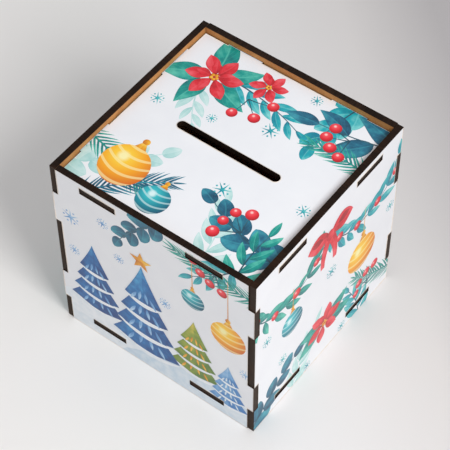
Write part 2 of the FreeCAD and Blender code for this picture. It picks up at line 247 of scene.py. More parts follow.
def wash_ink(name, dark, middle, light, rib=0.0, pool=0.35, veins=0.0):
    """UV-cured ink printed as a brush wash: paler at the tip and on one half, pooled at its rim, veined."""
    material, tree, shader = new_material(name + "_uv_ink")
    source = add(tree, "TexCoord")
    way = add(tree, "SeparateXYZ", {"Vector": source.outputs["UV"]})
    along = way.outputs["X"]
    centred = add(tree, "Math", {0: way.outputs["Y"], 1: 0.5}, operation="SUBTRACT").outputs[0]
    off = add(tree, "Math", {0: centred}, operation="ABSOLUTE").outputs[0]
    place = source.outputs["Object"]
    cloud = add(tree, "TexNoise", {"Vector": place, "Scale": per_mm(3.6), "Detail": 3.0}).outputs["Fac"]
    wash = add(tree, "Attribute", attribute_name="wash").outputs["Fac"]
    blot = add(tree, "MapRange", {"Value": cloud, "From Min": 0.3, "From Max": 0.7, "To Max": 0.3})
    half = add(tree, "MapRange", {"Value": centred, "From Min": -0.02, "From Max": 0.02, "To Max": 0.12})
    slope = add(tree, "Math", {0: along, 1: 0.38, 2: blot.outputs["Result"]}, operation="MULTIPLY_ADD")
    drawn = add(tree, "Math", {0: wash, 1: 0.2, 2: slope.outputs[0]}, operation="MULTIPLY_ADD").outputs[0]
    tone = add(tree, "Math", {0: drawn, 1: half.outputs["Result"]}, operation="ADD").outputs[0]
    body = add(tree, "ValToRGB", {"Fac": tone}, [(0.2, dark), (0.84, light), (0.5, middle)]).outputs["Color"]
    rim = add(tree, "MapRange", {"Value": off, "From Min": 0.38, "From Max": 0.5, "To Max": pool})
    layers = {FACTOR: rim.outputs["Result"], MIX_A: body, MIX_B: linear(dark)}
    pooled = add(tree, "Mix", layers, data_type="RGBA").outputs[MIXED]
    lean = add(tree, "Math", {0: off, 1: -VEIN_LEAN}, operation="MULTIPLY").outputs[0]
    ladder = add(tree, "Math", {0: along, 1: VEIN_PAIRS, 2: lean}, operation="MULTIPLY_ADD").outputs[0]
    near = add(tree, "Math", {0: ladder, 1: 0.5}, operation="PINGPONG").outputs[0]
    side = add(tree, "MapRange", {"Value": near, "From Min": 0.06, "From Max": 0.02, "To Max": veins})
    line = add(tree, "MapRange", {"Value": off, "From Min": 0.05, "From Max": 0.02, "To Max": rib})
    strokes = add(tree, "Math", {0: side.outputs["Result"], 1: line.outputs["Result"]}, operation="MAXIMUM")
    layers = {FACTOR: strokes.outputs[0], MIX_A: pooled, MIX_B: linear(light)}
    inked = add(tree, "Mix", layers, data_type="RGBA")
    connect(tree, shader, Base_Color=inked.outputs[MIXED])
    shader.inputs["Roughness"].default_value = INK_ROUGHNESS
    shader.inputs["IOR"].default_value = RESIN_IOR
    return material


def ball_ink(name, glint, light, middle, dark, bands=0.0):
    """UV-cured ink printed as a shaded ball: a glint up to the left, a dark rim, and bands if it has any."""
    material, tree, shader = new_material(name + "_uv_ink")
    disc = add(tree, "TexCoord").outputs["UV"]
    far = add(tree, "VectorMath", {0: disc, 1: GLINT_PLACE}, operation="DISTANCE").outputs["Value"]
    stops = [(0.06, glint), (0.72, dark), (0.15, light), (0.42, middle)]
    body = add(tree, "ValToRGB", {"Fac": far}, stops).outputs["Color"]
    way = add(tree, "SeparateXYZ", {"Vector": disc})
    side = add(tree, "Math", {0: way.outputs["X"], 1: 0.5}, operation="SUBTRACT").outputs[0]
    square = add(tree, "Math", {0: side, 1: side}, operation="MULTIPLY").outputs[0]
    curve = {0: square, 1: -BAND_CURVE, 2: way.outputs["Y"]}
    level = add(tree, "Math", curve, operation="MULTIPLY_ADD").outputs[0]
    wave = add(tree, "Math", {0: level, 1: 2 * math.pi * BAND_COUNT}, operation="MULTIPLY").outputs[0]
    crest = add(tree, "Math", {0: wave}, operation="SINE").outputs[0]
    band = add(tree, "MapRange", {"Value": crest, "From Min": 0.55, "From Max": 0.75, "To Max": bands})
    layers = {FACTOR: band.outputs["Result"], MIX_A: body, MIX_B: linear(glint)}
    inked = add(tree, "Mix", layers, data_type="RGBA")
    connect(tree, shader, Base_Color=inked.outputs[MIXED])
    shader.inputs["Roughness"].default_value = INK_ROUGHNESS
    shader.inputs["IOR"].default_value = RESIN_IOR
    return material


def studio_paper():
    """Plain pale paper under the box, darkening towards the back right as painted shade for the light's
    falloff. It is clear from below, so that the underside can be looked at.
    """
    material, tree, shader = new_material("studio_paper")
    place = add(tree, "TexCoord").outputs["Object"]
    aside = add(tree, "VectorMath", {0: place, 1: SHADE_FALL_WAY}, operation="DOT_PRODUCT").outputs["Value"]
    stretch = {"Value": aside, "From Min": SHADE_FALL_START * MM, "From Max": SHADE_FALL_END * MM}
    fall = add(tree, "MapRange", stretch).outputs["Result"]
    # Painted shade: the paper's colour darkens from the front left to the back right
    stops = [(0.0, "f3f0ed"), (1.0, "bbb7b7"), (0.2, "f0eeeb"), (0.5, "eae8e7"), (0.8, "dcd8d6")]
    colour = add(tree, "ValToRGB", {"Fac": fall}, stops).outputs["Color"]
    connect(tree, shader, Base_Color=colour)
    shader.inputs["Roughness"].default_value = 0.7
    below = add(tree, "NewGeometry").outputs["Backfacing"]
    clear = add(tree, "BsdfTransparent").outputs["BSDF"]
    seen = add(tree, "MixShader", {0: below, 1: shader.outputs["BSDF"], 2: clear}).outputs["Shader"]
    tree.links.new(seen, tree.nodes["Material Output"].inputs["Surface"])
    return material


PRINTED = white_ink_face()
RAW = raw_fibreboard()
CHARRED = [charred_edge(axis) for axis in range(3)]
HOLE_SHADE = painted_shade_hole()
ZINC = zinc_plated_steel()

INKS = {
    "petrol": wash_ink("petrol", "17425d", "1f6a86", "3fa3b2", rib=0.4, veins=0.25),
    "teal": wash_ink("teal", "06676c", "0a978c", "5fc7b2", rib=0.6, veins=0.35),
    "turquoise": wash_ink("turquoise", "0c7f97", "1aa8b2", "86d9d5", rib=0.4),
    "mint": wash_ink("mint", "9acfcc", "bde1de", "dcf0ee", rib=0.3, pool=0.5),
    "stem": wash_ink("stem", "1b4354", "2b5b6b", "47798a"),
    "moss": wash_ink("moss", "5d7f2e", "93a335", "d8c447", pool=0.25),
    "deep_blue": wash_ink("deep_blue", "0f4484", "1871b3", "50b0de", pool=0.3),
    "sky_blue": wash_ink("sky_blue", "3f7fc0", "7fb2de", "c3dcf0", pool=0.2),
    "snow_shade": wash_ink("snow_shade", "c6d9e8", "dfe9f1", "f0f4f8", pool=0.3),
    "snow_white": wash_ink("snow_white", "e0e9f0", "f0f4f8", "f8fafc", pool=0.2),
    "red": wash_ink("red", "b0121d", "e02b38", "f3606a", rib=0.35, pool=0.5, veins=0.2),
    "dark_red": wash_ink("dark_red", "8e0f1a", "b3202b", "cf3a42"),
    "bark": wash_ink("bark", "5a2f1a", "8a4c26", "b57a45"),
    "gold_line": wash_ink("gold_line", "c96d16", "f0a622", "ffd95c"),
    "berry": ball_ink("berry", "ffc9c4", "f5505a", "e22633", "a30f1b"),
    "gold_ball": ball_ink("gold_ball", "fff3b0", "ffcf3a", "f7a51c", "d4621a", bands=0.55),
    "blue_ball": ball_ink("blue_ball", "d8f4f4", "35bcc4", "148b9c", "114a66", bands=0.5),
}


# Meshes


def pick(*pieces):
    """Selects these objects alone and makes the last of them active."""
    bpy.ops.object.select_all(action="DESELECT")
    for piece in pieces:
        piece.select_set(True)
    bpy.context.view_layer.objects.active = pieces[-1]


def new_piece(name, mesh):
    """A linked object for a mesh, selected alone."""
    piece = bpy.data.objects.new(name, mesh)
    bpy.context.scene.collection.objects.link(piece)
    pick(piece)
    return piece


def merged_copy(node, name):
    """A copy of a CAD node's solid, with its loose triangles merged into whole faces."""
    piece = new_piece(name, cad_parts[node].data.copy())
    piece.data.materials.clear()
    bpy.ops.object.mode_set(mode="EDIT")
    bpy.ops.mesh.select_all(action="SELECT")
    bpy.ops.mesh.remove_doubles(threshold=WELD * MM)
    bpy.ops.mesh.dissolve_limited(angle_limit=FLUSH)
    bpy.ops.object.mode_set(mode="OBJECT")
    return piece


def select_faces(piece, *ways):
    """Selects the flat faces of a mesh that point one of these ways, in object mode."""
    bpy.ops.object.mode_set(mode="EDIT")
    bpy.ops.mesh.select_mode(type="FACE")
    bpy.ops.mesh.select_all(action="DESELECT")
    bpy.ops.object.mode_set(mode="OBJECT")
    for face in piece.data.polygons:
        face.select = any(face.normal.dot(way) > FLAT for way in ways)


def dull_edges(piece, width):
    """Takes the sharp corners off a piece."""
    pick(piece)
    bpy.ops.object.mode_set(mode="EDIT")
    bpy.ops.mesh.select_mode(type="EDGE")
    bpy.ops.mesh.select_all(action="DESELECT")
    bpy.ops.mesh.edges_select_sharp(sharpness=SHARP)
    bpy.ops.mesh.bevel(offset=width * MM, segments=1, affect="EDGES", clamp_overlap=True)
    bpy.ops.object.mode_set(mode="OBJECT")


def finish_piece(piece, body, slot, *nodes):
    """Smooths a finished piece, puts it on its body and lets it stand for its CAD nodes."""
    pick(piece)
    bpy.ops.object.shade_smooth_by_angle(angle=SMOOTH)
    bpy.ops.object.material_slot_remove_unused()
    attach(piece, body)
    if nodes:
        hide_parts(*nodes)


# Material slots of a board
BURNT, BARE, WHITE, SHADED = range(4)


def cut_board(node, outward, printed):
    """A laser-cut panel: its face printed white or raw, its other side raw, its cut edges burnt and the
    walls of its holes darker still, as painted shade.
    """
    piece = merged_copy(node, node + "_board")
    dull_edges(piece, ARRIS)
    axis = max(range(3), key=lambda index: abs(outward[index]))
    for material in (CHARRED[axis], RAW, PRINTED, HOLE_SHADE):
        piece.data.materials.append(material)
    bpy.context.view_layer.update()
    for face in piece.data.polygons:
        side = face.normal.dot(outward)
        if abs(side) > FLAT:
            face.material_index = WHITE if printed and side > 0 else BARE
        # Walls that look into a hole of their own piece take the darker hole material, which is painted
        # shade
        else:
            face.material_index = SHADED if faces_itself(piece, face) else BURNT
    if printed:
        select_faces(piece, outward)
        bpy.ops.object.mode_set(mode="EDIT")
        bpy.ops.mesh.inset(thickness=(LIP - ARRIS) * MM, use_boundary=True, use_even_offset=True)
        bpy.ops.transform.translate(value=-INK_DEPTH * MM * outward)
        bpy.ops.object.mode_set(mode="OBJECT")
    tint_cuts(piece, outward)
    return piece


def faces_itself(piece, face):
    """True if a face looks at another part of its own piece, as the walls of a hole do."""
    return piece.ray_cast(face.center + ARRIS * MM * face.normal, face.normal)[0]


def tint_cuts(piece, outward):
    """Marks the outlines of a board's two sides, so that they can show the smoke of the laser there."""
    select_faces(piece, outward, -outward)
    bpy.ops.object.mode_set(mode="EDIT")
    bpy.ops.mesh.inset(thickness=SCORCH * MM, use_boundary=True, use_even_offset=True)
    bpy.ops.object.mode_set(mode="OBJECT")
    mesh = piece.data
    inner = {index for face in mesh.polygons if face.select for index in face.vertices}
    values = [0.0 if index in inner else 1.0 for index in range(len(mesh.vertices))]
    mesh.attributes.new("scorch", "FLOAT", "POINT").data.foreach_set("value", values)


# Printed motifs

SEED = 7
dice = random.Random(SEED)

# Headings on a face, in degrees
UPWARD, DOWNWARD = 90, 270

# Drawn widths, in grid steps
TWIG, NEEDLE_LINE, STALK, THREAD = 1.1, 1.3, 0.8, 0.6
BERRY = 7

# Proportions of the motifs
UNEVEN = 0.9, 1.1       # least and most of its due size and tilt that a leaf has
LEAF_SPREAD = 50        # degrees between a leaf and the foot of its stem
BERRY_FAN = 95          # degrees between the outer two stalks of a spray
STALK_BEND = 30         # degrees by which those two bend apart
FIR_TIERS = 4
SNOW_BEND = 64          # degrees that the snow on a skirt bends by
SNOW_ARMS = 6
HEART_DOTS = 5
FULL_TURN = 360


def unit_plate(name, half_width, steps, sag=0.0):
    """A closed plate of length and thickness 1, as wide as the formula says, whose foot can sag."""
    bpy.ops.object.select_all(action="DESELECT")
    bpy.ops.mesh.primitive_grid_add(x_subdivisions=steps, y_subdivisions=2, size=1, calc_uvs=True)
    plate = bpy.context.object
    plate.name = name
    for vertex in plate.data.vertices:
        along = vertex.co.x + 0.5
        across = 2 * vertex.co.y
        low = sag * (1 - along) * (1 - across * across)
        vertex.co = (along - low, across * half_width(along), 0.0)
    return thicken(plate)


def unit_disc(name, steps, radius=None):
    """A closed disc of radius and thickness 1, or a shape whose radius follows a formula of the angle."""
    bpy.ops.object.select_all(action="DESELECT")
    bpy.ops.mesh.primitive_circle_add(vertices=steps, radius=1, fill_type="TRIFAN", calc_uvs=True)
    disc = bpy.context.object
    disc.name = name
    if radius:
        for vertex in disc.data.vertices:
            vertex.co *= radius(math.atan2(vertex.co.y, vertex.co.x))
    return thicken(disc)


def thicken(plate):
    """Gives a flat shape its thickness, and keeps it apart as a pattern to copy."""
    pick(plate)
    bpy.ops.object.mode_set(mode="EDIT")
    bpy.ops.mesh.select_all(action="SELECT")
    bpy.ops.mesh.remove_doubles(threshold=WELD)
    bpy.ops.mesh.extrude_region_move(TRANSFORM_OT_translate={"value": (0, 0, 1)})
    bpy.ops.mesh.select_all(action="SELECT")
    bpy.ops.mesh.normals_make_consistent(inside=False)
    bpy.ops.object.mode_set(mode="OBJECT")
    plate.users_collection[0].objects.unlink(plate)
    return plate


# Half the width at each share of the length, or the radius at each angle
LANCE_LEAF = unit_plate("lance_leaf", lambda s: 0.5 * math.sin(math.pi * s ** 0.9) ** 0.9, 12)
ROUND_LEAF = unit_plate("round_leaf", lambda s: 0.5 * math.sin(math.pi * s ** 0.8) ** 0.62, 14)
BROAD_LEAF = unit_plate("broad_leaf", lambda s: 0.5 * math.sin(math.pi * s ** 0.72), 16)
PETAL = unit_plate("petal", lambda s: 0.5 * math.sin(math.pi * s ** 1.15) ** 0.9, 12)
STEM = unit_plate("stem", lambda s: 0.5 * (1 - 0.55 * s), 12)
NEEDLE = unit_plate("needle", lambda s: 0.5 * math.sin(math.pi * (0.12 + 0.88 * s) ** 0.6) ** 0.7, 4)
TIER = unit_plate("tier", lambda s: 0.5 * (1 - s) ** 1.15, 8, sag=0.22)
CRESCENT = unit_plate("crescent", lambda s: 0.5 * math.sin(math.pi * s) ** 0.8, 12)
HILL = unit_plate("hill", lambda s: 0.5 * math.sin(math.pi * s) ** 0.7, 20)
DISC = unit_disc("disc", 28)
SNOW_STAR = unit_disc("snow_star", 24, lambda angle: 0.2 + 0.8 * abs(math.cos(SNOW_ARMS / 2 * angle)) ** 6)
GOLD_STAR = unit_disc("gold_star", 10, lambda angle: 0.42 + 0.58 * abs(math.sin(2.5 * angle + math.pi / 4)))


def convex_outline(points):
    """The convex outline of flat points, anticlockwise: its lower side, then its upper side."""
    rightward = sorted(points, key=tuple)
    outline = []
    for row in (rightward, rightward[::-1]):
        side = []
        for point in row:
            while len(side) > 1 and (side[-1] - side[-2]).cross(point - side[-1]) <= 0:
                side.pop()
            side.append(point)
        outline += side[:-1]
    return outline


def apart(outline, other):
    """True if a side of the first outline has the other outline wholly beyond it."""
    for start, end in zip(outline, outline[1:] + outline[:1]):
        side = (end - start).orthogonal()
        if max(side.dot(point - start) for point in other) < 0:
            return True
    return False


def reach_of(outline):
    """How far the outline goes from its first point."""
    return max((point - outline[0]).length for point in outline)


def meets(outline, other):
    """True if two convex outlines overlap."""
    if (outline[0] - other[0]).length > reach_of(outline) + reach_of(other):
        return False
    return not apart(outline, other) and not apart(other, outline)


class Sheet:
    """The ink on one face: its plates, and the outline, layer and motif of each."""

    def __init__(self):
        self.plates = []
        self.laid = []
        self.motif = 0

    def free_layer(self, outline, over):
        """The lowest layer in which a plate covers the earlier motifs and lies beside its own."""
        under = [(layer, motif) for other, layer, motif in self.laid if meets(outline, other)]
        layer = max((low + 1 for low, motif in under if over or motif != self.motif), default=0)
        while layer in {low for low, motif in under}:
            layer += 1
        if layer >= INK_LAYERS:
            raise ValueError("the ink needs more layers than it has")
        return layer


def lay(sheet, shape, at, heading, length, width, ink, bend=0.0, over=False):
    """Lays a copy of a unit plate on the sheet, its length along the heading and curved by the bend."""
    mesh = shape.data.copy()
    turn = math.radians(bend)
    place = Matrix.Translation((at[0], at[1], 0)) @ Matrix.Rotation(math.radians(heading), 4, "Z")
    flat = []
    for vertex in mesh.vertices:
        along, across, _ = vertex.co
        point = Vector((along * length, across * width, 0))
        if bend:
            radius = length / turn
            reach = radius - across * width
            point = Vector((reach * math.sin(along * turn), radius - reach * math.cos(along * turn), 0))
        flat.append((place @ point).to_2d())
    outline = convex_outline(flat)
    layer = sheet.free_layer(outline, over)
    for vertex, point in zip(mesh.vertices, flat):
        height = layer * INK_LAYER + vertex.co.z * INK_FILM - INK_DEPTH
        vertex.co = (*(GRID * point), MM * height)
    mesh.materials.append(INKS[ink])
    wash = dice.random()
    mesh.attributes.new("wash", "FLOAT", "FACE").data.foreach_set("value", [wash] * len(mesh.polygons))
    sheet.plates.append(mesh)
    sheet.laid.append((outline, layer, sheet.motif))


def along_arc(at, heading, length, bend, share):
    """The point at a share of a curved stem's length, and the stem's heading there."""
    turn = math.radians(bend) * share
    chord = length * share
    if bend:
        chord = 2 * length / math.radians(bend) * math.sin(turn / 2)
    aim = math.radians(heading) + turn / 2
    return (at[0] + chord * math.cos(aim), at[1] + chord * math.sin(aim)), heading + math.degrees(turn)


def beyond(at, heading, distance):
    """The point that lies this far from another along a heading."""
    return along_arc(at, heading, distance, 0, 1)[0]


def dot(sheet, at, radius, ink, over=False):
    """A round spot of ink."""
    lay(sheet, DISC, at, 0, radius, radius, ink, over=over)


def sprig(sheet, leaf, at, heading, reach, bend, count, size, ink):
    """A curved stem with leaves in turn on both sides, smaller towards its tip, and one leaf at its end."""
    sheet.motif += 1
    length, width = size
    for index in range(count):
        share = 0.1 + 0.82 * index / count
        side = 1 if index % 2 else -1
        scale = (1 - 0.4 * share) * dice.uniform(*UNEVEN)
        point, aim = along_arc(at, heading, reach, bend, share)
        tilt = side * LEAF_SPREAD * (1 - 0.25 * share) * dice.uniform(*UNEVEN)
        lay(sheet, leaf, point, aim + tilt, length * scale, width * scale, ink, -side * 25)
    point, aim = along_arc(at, heading, reach, bend, 0.97)
    lay(sheet, leaf, point, aim, length * 0.65, width * 0.6, ink, 10)
    lay(sheet, STEM, at, heading, reach, TWIG, "mint" if ink == "mint" else "stem", bend)


def frond(sheet, at, heading, reach, bend, count, longest, ink):
    """A needle twig: a stem with pairs of narrow needles that lean forward."""
    sheet.motif += 1
    for index in range(count):
        share = 0.05 + 0.95 * index / count
        point, aim = along_arc(at, heading, reach, bend, share)
        long = longest * (0.5 + 0.5 * math.sin(math.pi * (0.2 + 0.72 * share)))
        for side in (-1, 1):
            tilt = side * dice.uniform(38, 50) * (1 - 0.35 * share)
            lay(sheet, NEEDLE, point, aim + tilt, long, NEEDLE_LINE, ink, -side * 12)
    point, aim = along_arc(at, heading, reach, bend, 1)
    lay(sheet, NEEDLE, point, aim, longest * 0.45, NEEDLE_LINE, ink)
    lay(sheet, STEM, at, heading, reach, NEEDLE_LINE, ink, bend)


def berries(sheet, at, heading, reach, count):
    """A spray of round berries, each on a thin stem of its own."""
    sheet.motif += 1
    for index in range(count):
        share = index / max(1, count - 1) - 0.5
        aim = heading + BERRY_FAN * share
        long = reach * dice.uniform(0.7, 1.0)
        lay(sheet, STEM, at, aim, long, STALK, "stem", STALK_BEND * share)
        point, _ = along_arc(at, aim, long, STALK_BEND * share, 1.0)
        dot(sheet, point, BERRY / 2 * dice.uniform(0.88, 1.1), "berry", over=True)


def bauble(sheet, at, radius, ink, thread=0.0):
    """A glass ball with its cap, its ring and, if it hangs, its thread."""
    sheet.motif += 1
    top = (at[0], at[1] + radius * 0.96)
    ring = (top[0], top[1] + radius * 0.38)
    if thread:
        lay(sheet, STEM, ring, UPWARD, thread, THREAD, "gold_line")
    dot(sheet, ring, radius * 0.15, "gold_line", over=True)
    dot(sheet, at, radius, ink)
    lay(sheet, STEM, top, UPWARD, radius * 0.26, radius * 0.5, "gold_line", over=True)


def flake(sheet, at, size, ink):
    """A snow star with a dot between its arms."""
    sheet.motif += 1
    step = FULL_TURN / SNOW_ARMS
    turn = dice.uniform(0, step)
    lay(sheet, SNOW_STAR, at, turn, size, size, ink)
    for index in range(SNOW_ARMS):
        dot(sheet, beyond(at, turn + step / 2 + step * index, size * 0.7), size * 0.1, ink)


def snowfall(sheet, ink, stars):
    """Snow stars: a place and a size for each."""
    for x, y, size in stars:
        flake(sheet, (x, y), size, ink)


def snow_hill(sheet, foot, heading, span, height, ink, bend):
    """A low hill of snow, from its left foot."""
    sheet.motif += 1
    lay(sheet, HILL, foot, heading, span, height, ink, bend)


def fir_tree(sheet, foot, height, width, ink, stroke):
    """A snowy fir: a trunk and tiers, each in front of the one below, with twigs and snow on its skirt."""
    sheet.motif += 1
    lay(sheet, STEM, foot, UPWARD, height * 0.16, width * 0.14, "bark")
    for index in range(FIR_TIERS):
        sheet.motif += 1
        share = index / FIR_TIERS
        base = (foot[0], foot[1] + height * (0.1 + 0.66 * share))
        span = width * (1 - 0.62 * share)
        tall = height * (0.4 - 0.06 * share)
        lay(sheet, TIER, base, UPWARD, tall, span, ink)
        left = (base[0] - span * 0.5, base[1] - tall * 0.02)
        snow = height * 0.045
        lay(sheet, CRESCENT, left, -SNOW_BEND / 2, span * 1.06, snow, "snow_white", SNOW_BEND, True)
        for twig in (-0.3, -0.1, 0.1, 0.3):
            root = (base[0] + span * twig * 0.6, base[1] + tall * (0.3 - 0.5 * abs(twig)))
            aim = DOWNWARD + 75 * twig
            lay(sheet, CRESCENT, root, aim, tall * 0.3, tall * 0.07, stroke, 40 * twig, True)


def star_flower(sheet, at, radius):
    """A winter star: two rounds of pointed petals and a gold heart."""
    # Petals, share of the radius and first heading of each round
    for count, share, first in ((6, 1.0, 5), (5, 0.68, 30)):
        sheet.motif += 1
        for index in range(count):
            aim = FULL_TURN * index / count + dice.uniform(first, first + 10)
            root = beyond(at, aim, radius * 0.1)
            lay(sheet, PETAL, root, aim, radius * (share - 0.1), radius * share * 0.48, "red", 14)
    sheet.motif += 1
    dot(sheet, at, radius * 0.17, "dark_red")
    for index in range(HEART_DOTS):
        point = beyond(at, FULL_TURN / HEART_DOTS * index, radius * 0.1)
        dot(sheet, point, radius * 0.06, "gold_line", over=True)


def leaf_round(sheet, at, leaves, ink):
    """Broad leaves from one point: a heading and a length for each."""
    sheet.motif += 1
    for heading, length in leaves:
        root = beyond(at, heading, length * 0.15)
        lay(sheet, BROAD_LEAF, root, heading, length * 0.85, length * 0.42, ink, 18)


def bow(sheet, at, size):
    """A ribbon bow: two loops with their shaded insides, two tails and a knot."""
    sheet.motif += 1
    for side in (-1, 1):
        lay(sheet, STEM, at, DOWNWARD + side * 30, size * 1.2, size * -0.34, "red", -side * 34)
    sheet.motif += 1
    for side in (-1, 1):
        aim = UPWARD - side * 68
        lay(sheet, PETAL, at, aim, size, size * 0.66, "red", -side * 30)
        inside = beyond(at, aim, size * 0.34)
        lay(sheet, PETAL, inside, aim, size * 0.52, size * 0.26, "dark_red", -side * 20, True)
    lay(sheet, DISC, at, 0, size * 0.16, size * 0.2, "red", over=True)


def swag(sheet, start, end, sag, count, size, ink):
    """A hanging garland between two points: leaves on both sides of its stem and berries along it."""
    sheet.motif += 1
    way = Vector(end) - Vector(start)
    heading = math.degrees(math.atan2(way.y, way.x))
    # The turn and the length of a shallow arc, from its sag and its span
    bend = math.degrees(8 * sag / way.length)
    reach = way.length * (1 + 8 / 3 * (sag / way.length) ** 2)
    first = heading - bend / 2
    lay(sheet, STEM, start, first, reach, TWIG, "stem", bend)
    sheet.motif += 1
    for index in range(count):
        point, aim = along_arc(start, first, reach, bend, (index + 0.5) / count)
        for side in (-1, 1):
            long = size * dice.uniform(0.8, 1.15)
            tilt = side * dice.uniform(36, 58)
            lay(sheet, LANCE_LEAF, point, aim + tilt, long, long * 0.36, ink, -side * 30)
    sheet.motif += 1
    for index in range(1, count, 2):
        point, _ = along_arc(start, first, reach, bend, (index + 0.5) / count)
        dot(sheet, point, size * dice.uniform(0.17, 0.22), "berry")


def top_design(sheet):
    """Winter stars at the back left, balls on needle twigs at the front left, greenery at the right."""
    sprig(sheet, LANCE_LEAF, (-34, 44), 2, 58, -24, 9, (22, 7), "turquoise")
    sprig(sheet, LANCE_LEAF, (-44, 36), 282, 36, 28, 6, (18, 6), "mint")
    leaf_round(sheet, (-40, 40), ((196, 34), (248, 30), (100, 36), (330, 32), (32, 30)), "teal")
    star_flower(sheet, (-40, 40), 18)
    star_flower(sheet, (-10, 52), 12)
    berries(sheet, (-14, 38), 318, 16, 3)
    sprig(sheet, ROUND_LEAF, (-74, -62), 32, 62, 16, 7, (18, 13), "mint")
    frond(sheet, (-76, -34), 352, 62, -18, 17, 16, "teal")
    frond(sheet, (-52, -78), 58, 60, -26, 17, 16, "petrol")
    bauble(sheet, (-40, -42), 15, "gold_ball")
    bauble(sheet, (-12, -52), 10, "blue_ball")
    sprig(sheet, LANCE_LEAF, (34, -78), 92, 50, 24, 8, (21, 6.5), "mint")
    sprig(sheet, ROUND_LEAF, (78, -50), 176, 66, -22, 7, (19, 14), "petrol")
    sprig(sheet, LANCE_LEAF, (58, -78), 108, 44, -24, 7, (20, 6.5), "teal")
    berries(sheet, (40, -42), 156, 17, 4)
    sprig(sheet, ROUND_LEAF, (44, 80), 250, 52, 20, 7, (18, 13), "turquoise")
    sprig(sheet, BROAD_LEAF, (82, 58), 200, 56, -16, 3, (34, 15), "petrol")
    frond(sheet, (78, 30), 168, 46, 20, 14, 14, "teal")
    berries(sheet, (50, 46), 220, 16, 4)
    stars = ((10, 26, 6), (-56, 8, 5), (14, -24, 6), (58, -10, 5), (18, 60, 4.5), (-22, 14, 4))
    snowfall(sheet, "turquoise", stars)


def front_design(sheet):
    """Snowy firs on a hill, one with a gold star, beside a branch with hanging balls."""
    snow_hill(sheet, (-92, -62), 8, 150, 62, "snow_white", -18)
    snow_hill(sheet, (-30, -72), 4, 140, 46, "snow_shade", -10)
    fir_tree(sheet, (-44, -46), 68, 40, "deep_blue", "sky_blue")
    fir_tree(sheet, (28, -50), 58, 36, "moss", "gold_line")
    fir_tree(sheet, (-8, -58), 90, 50, "deep_blue", "sky_blue")
    fir_tree(sheet, (52, -60), 44, 28, "sky_blue", "snow_shade")
    sheet.motif += 1
    lay(sheet, GOLD_STAR, (-8, 32), 0, 8, 8, "gold_line")
    sprig(sheet, LANCE_LEAF, (60, 80), 236, 46, -22, 8, (21, 6.5), "turquoise")
    frond(sheet, (80, 58), 184, 66, -16, 18, 15, "teal")
    sprig(sheet, ROUND_LEAF, (14, 80), 214, 54, 26, 7, (17, 12), "petrol")
    bauble(sheet, (52, 10), 12, "gold_ball", 36)
    bauble(sheet, (28, 26), 8, "blue_ball", 26)
    berries(sheet, (44, 62), 232, 16, 4)
    stars = ((-58, 34, 7), (-34, 46, 5), (-58, 4, 5), (8, 6, 5), (64, -16, 5), (-24, 22, 4.5))
    snowfall(sheet, "sky_blue", stars)


def right_design(sheet):
    """Two garlands with a bow between them, hanging balls, and greenery along the foot."""
    swag(sheet, (-76, 50), (0, 44), 22, 9, 17, "teal")
    swag(sheet, (0, 44), (76, 50), 22, 9, 17, "turquoise")
    bauble(sheet, (36, -10), 14, "gold_ball", 24)
    bauble(sheet, (-34, 0), 10, "blue_ball", 18)
    bow(sheet, (0, 44), 22)
    sprig(sheet, LANCE_LEAF, (-34, -80), 74, 56, -20, 9, (22, 7), "mint")
    sprig(sheet, ROUND_LEAF, (-76, -72), 48, 58, -26, 6, (20, 14), "petrol")
    sprig(sheet, LANCE_LEAF, (40, -80), 96, 46, 26, 8, (21, 7), "turquoise")
    frond(sheet, (80, -62), 158, 60, -24, 17, 16, "teal")
    leaf_round(sheet, (0, -40), ((196, 28), (160, 26), (342, 28), (20, 26)), "teal")
    star_flower(sheet, (0, -40), 17)
    berries(sheet, (46, -50), 118, 16, 4)
    stars = ((4, 6, 6), (-58, 8, 5), (64, 6, 5), (-16, -66, 4.5), (20, -66, 5), (-42, -28, 5))
    snowfall(sheet, "turquoise", stars)


def left_design(sheet):
    """Greenery from two corners, with balls and winter stars between."""
    sprig(sheet, BROAD_LEAF, (-80, 68), 322, 74, 16, 5, (38, 17), "teal")
    sprig(sheet, LANCE_LEAF, (-42, 78), 292, 54, 24, 9, (23, 7), "petrol")
    berries(sheet, (-42, 40), 320, 19, 5)
    sprig(sheet, LANCE_LEAF, (36, -78), 100, 52, 24, 9, (22, 6.5), "mint")
    sprig(sheet, ROUND_LEAF, (80, -68), 142, 78, 22, 10, (20, 14), "turquoise")
    frond(sheet, (78, -26), 160, 52, -20, 15, 15, "petrol")
    bauble(sheet, (42, 28), 14, "gold_ball", 44)
    bauble(sheet, (14, 36), 10, "blue_ball", 36)
    leaf_round(sheet, (-42, -34), ((200, 30), (120, 32), (40, 28), (330, 26)), "teal")
    star_flower(sheet, (-42, -34), 17)
    star_flower(sheet, (-18, -52), 12)
    stars = ((-8, 4, 6), (-58, -4, 5), (62, 4, 5), (-54, -56, 5))
    snowfall(sheet, "turquoise", stars)


def back_design(sheet):
    """Snowy firs at one side of a hill, with greenery above and berries."""
    snow_hill(sheet, (-84, -70), 4, 160, 56, "snow_shade", -12)
    fir_tree(sheet, (38, -54), 86, 50, "deep_blue", "sky_blue")
    fir_tree(sheet, (2, -56), 56, 34, "sky_blue", "snow_shade")
    fir_tree(sheet, (-36, -56), 46, 30, "moss", "gold_line")
    sprig(sheet, LANCE_LEAF, (80, 64), 206, 68, 22, 10, (25, 7.5), "teal")
    sprig(sheet, ROUND_LEAF, (-58, 80), 300, 58, -24, 9, (19, 14), "petrol")
    frond(sheet, (-80, 26), 10, 52, 22, 15, 14, "turquoise")
    berries(sheet, (28, 44), 230, 18, 5)
    stars = ((0, 24, 6), (-26, 2, 5), (62, 22, 5), (-58, -16, 4.5), (4, 58, 5))
    snowfall(sheet, "sky_blue", stars)


